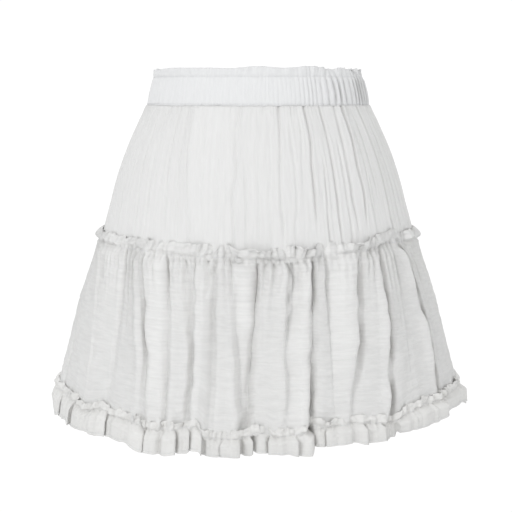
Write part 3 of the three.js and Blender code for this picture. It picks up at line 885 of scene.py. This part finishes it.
def flounce_surface(first, folds, pleats, seed):
    """Where the cloth of the hem strip lies, on the foot of the tier's folds."""
    angles = fold_angles(folds, first)
    rises = np.array([*(row[5] for row in pleats), pleats[0][5]])
    edges = np.array([*(row[0] for row in pleats), first + 180])
    crests = np.array([*(row[4] for row in pleats), pleats[0][4]])
    laps = np.array([*(row[3] for row in pleats), pleats[0][3]])
    left_stand, right_stand = np.where(laps[:-1] < 0, 1.1, 0.7), np.where(laps[1:] > 0, 1.1, 0.7)

    def surface(across, down):
        foot = first + 180 * across
        start = HEM_SEAM - round_front(foot, HEM_DROP)
        drop = np.clip((down - HEM_FRILL_SHARE) / (1 - HEM_FRILL_SHARE), 0, 1)
        span = np.clip(np.searchsorted(edges, foot, side="right") - 1, 0, len(edges) - 2)
        share_of_span = (foot - edges[span]) / (edges[span + 1] - edges[span])
        mixed = smooth_share(share_of_span, 0.72, 1)
        foot_rise = rises[span] * (1 - mixed) + rises[span + 1] * mixed
        level = start + (FLOUNCE_FOOT + foot_rise - start) * drop
        base_out, base_along = lower_out(foot, foot * 0 + HEM_SEAM, foot * 0 + 1, folds, first, seed)
        sides = smooth_share(across, 0, 0.02) * (1 - smooth_share(across, 0.98, 1))
        opened = smooth_share(drop, 0, 0.35)
        stand = left_stand[span] + (right_stand[span] - left_stand[span]) * share_of_span
        out = opened * crests[span] * stand * (1 - 0.45 * drop**2)
        along = np.zeros_like(foot)
        for pleat in pleats:
            row = dict(zip(PLEAT_COLUMNS, pleat))
            aside = (foot - row["foot"]) * girth(level) / row["groove"]
            way = -1 if row["lap"] < 0 else 1
            aside = aside * way
            strength = smooth_share(drop, 0, 0.3)
            behind = 0.65 * np.exp(-((aside / 0.95) ** 4)) + 0.35 * np.exp(-((aside / 2.1) ** 2))
            out -= 1.6 * strength * row["depth"] * np.where(aside < 0, 0, behind)
            along += strength * row["lap"] * np.where(aside < 0, np.exp(-((aside / 1.1) ** 2)), 0)
            pulled = np.where(aside < 0, 0, np.exp(-((aside / 0.7) ** 2)))
            along -= strength * 0.25 * row["lap"] * pulled
        run = foot * girth(HEM_SEAM)
        below = drop * FLOUNCE_FALL
        out += 0.4 * fine_gathers(run, 2.2 * below, HEM_GATHERS, seed + 20)
        out += 0.6 * soft_noise(run / 17, drop * 1.4, seed + 23) * opened
        rolled = smooth_share(drop, 0.9, 0.93)
        out += 0.5 * rolled - 0.35 * np.exp(-(((drop - 0.895) / 0.018) ** 2))
        level = level + 0.7 * soft_noise(run / 15, run * 0, seed + 24) * drop
        rise = np.clip(1 - down / HEM_FRILL_SHARE, 0, 1)
        calm = smooth_share(np.abs(across - 0.5), 0.42, 0.48)
        lean = 1 - 0.8 * smooth_share(np.abs(np.sin(np.radians(foot))), 0.5, 0.8)
        frill = frill_shape(run, rise, below, HEM_FRILL, HEM_WAVE, HEM_SWING, lean, calm, seed + 30)
        frill_out, frill_along, frill_up = frill
        even = smooth_share(across, 0.005, 0.045) * (1 - smooth_share(across, 0.955, 0.995))
        frill_out = even * frill_out + (1 - even) * side_puff(rise, 4)
        frill_up = even * frill_up + (1 - even) * rise * (HEM_FRILL + 1)
        dimple = np.clip(0.7 + 0.9 * soft_noise(run / 4.2, run * 0, seed + 37), 0, 1.9)
        out -= dimple * np.exp(-(((rise * HEM_FRILL + below) / 1.6) ** 2)) - 1.2 * rise * even
        angle = leaning(foot, foot * 0 + 1, angles)
        side_out = opened * np.where(np.sin(np.radians(foot)) > 0, 3 + 1.5 * drop, 0)
        tucked = 6.5 * drop**2 * smooth_share(-np.sin(np.radians(foot)), 0.93, 1)
        out = TIER_OUT + FLOUNCE_OUT + base_out + side_out * (1 - sides) + sides * out + frill_out - tucked
        along = base_along + sides * along + even * frill_along
        cut_down = np.where(rise > 0, rise * HEM_FRILL, -drop * FLOUNCE_CUT_DOWN)
        places = place(angle, level + frill_up, out, along)
        return places, np.stack([across * FLOUNCE_CUT, cut_down], axis=-1)

    return surface


flounce_gauze = gauze_material("flounce gauze", 60, 300, 0.45, (0.693, 0.683, 0.66))
for side, first, folds, pleats, seed in (
    ("front", -90, LOWER_FOLDS, FLOUNCE_PLEATS, 60),
    ("back", 90, BACK_FOLDS, flounce_back(FLOUNCE_PLEATS, 8), 90),
):
    flounce = flounce_surface(first, folds, pleats, seed)
    name = "hem_flounce_" + side + "_cloth"
    strip = cloth_piece(name, columns=560, rows=40, surface=flounce, thickness=GAUZE_THICK)
    strip.data.materials.append(flounce_gauze)
    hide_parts("hem_flounce_" + side)
    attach(strip, "root")
    rows = [
        stitch_row("hem_seam_stitches_" + side, flounce, HEM_FRILL_SHARE, 200),
        stitch_row("hem_edge_stitches_" + side, flounce, EDGE_ROW_SHARE, 230),
    ]


# Studio: a plain pale floor far below, and a pale surround that lights the skirt evenly. A soft box stands high
# on the left, a weaker one low to the right of the camera and a wide one behind. The camera is level with the
# waist and looks slightly down.
FLOOR_LEVEL = -1.0
floor_shape = bmesh.new()
bmesh.ops.create_circle(floor_shape, cap_ends=True, segments=64, radius=12)
bmesh.ops.translate(floor_shape, verts=floor_shape.verts, vec=(0, 0, FLOOR_LEVEL))
floor_mesh = bpy.data.meshes.new("studio_floor")
floor_shape.to_mesh(floor_mesh)
floor_shape.free()
studio_floor = bpy.data.objects.new("studio_floor", floor_mesh)
bpy.context.collection.objects.link(studio_floor)
studio_floor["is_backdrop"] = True


def seen_white(tree, lit, strength):
    """Mixes a plain white seen by the camera with what lights the object."""
    rays = tree.nodes.new("ShaderNodeLightPath")
    in_material = tree.nodes.get("Material Output")
    white = tree.nodes.new("ShaderNodeEmission" if in_material else "ShaderNodeBackground")
    white.inputs["Strength"].default_value = strength
    white.inputs["Color"].default_value = (1, 1, 1, 1)
    mixed = tree.nodes.new("ShaderNodeMixShader")
    tree.links.new(rays.outputs["Is Camera Ray"], mixed.inputs[0])
    tree.links.new(lit.outputs[0], mixed.inputs[1])
    tree.links.new(white.outputs[0], mixed.inputs[2])
    return mixed


PAPER_WHITE = 1.05  # strength of the white seen behind the skirt
floor_paint = bpy.data.materials.new("studio floor")
floor_paint.use_nodes = True
floor_tree = floor_paint.node_tree
floor_cover = floor_tree.nodes["Principled BSDF"]
floor_cover.inputs["Base Color"].default_value = (0.8, 0.8, 0.8, 1)
floor_cover.inputs["Roughness"].default_value = 0.9
floor_tree.links.new(
    seen_white(floor_tree, floor_cover, PAPER_WHITE).outputs[0],
    floor_tree.nodes["Material Output"].inputs["Surface"],
)
floor_mesh.materials.append(floor_paint)

world = bpy.data.worlds.new("studio")
bpy.context.scene.world = world
world.use_nodes = True
world_tree = world.node_tree
surround = world_tree.nodes["Background"]
surround.inputs["Color"].default_value = (0.968, 0.981, 1.0, 1)
surround.inputs["Strength"].default_value = 1.075
world_tree.links.new(
    seen_white(world_tree, surround, PAPER_WHITE).outputs[0],
    world_tree.nodes["World Output"].inputs["Surface"],
)


def soft_light(name, position, size, power, colour):
    """A square soft box that faces the skirt."""
    lamp = bpy.data.lights.new(name, "AREA")
    lamp.size = size
    lamp.energy = power
    lamp.color = colour
    box = bpy.data.objects.new(name, lamp)
    bpy.context.collection.objects.link(box)
    box.location = position
    aim = Vector((0, 0, -0.17)) - Vector(position)
    box.rotation_euler = aim.to_track_quat("-Z", "Y").to_euler()


soft_light("key light", position=(-1.9, -2.25, 1.2), size=0.55, power=19, colour=(0.965, 0.98, 1.0))
soft_light("fill light", position=(0.5, -2.75, 0.2), size=0.7, power=10, colour=(0.97, 0.982, 1.0))
soft_light("rear light", position=(-1.2, 2.4, 1.4), size=1.6, power=14, colour=(1.0, 1.0, 1.0))

camera_data = bpy.data.cameras.new("camera")
camera_data.lens = 93.94
camera_data.sensor_width = 36
camera = bpy.data.objects.new("camera", camera_data)
bpy.context.collection.objects.link(camera)
camera.location = (-0.002, -1.4, 0)
camera.rotation_euler = (math.radians(83), 0, 0)
bpy.context.scene.camera = camera
bpy.context.scene.view_settings.view_transform = "Standard"

size_report = {
    "cad": [list(corner) for corner in cad_box],
    "visual": [list(corner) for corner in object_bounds()],
}
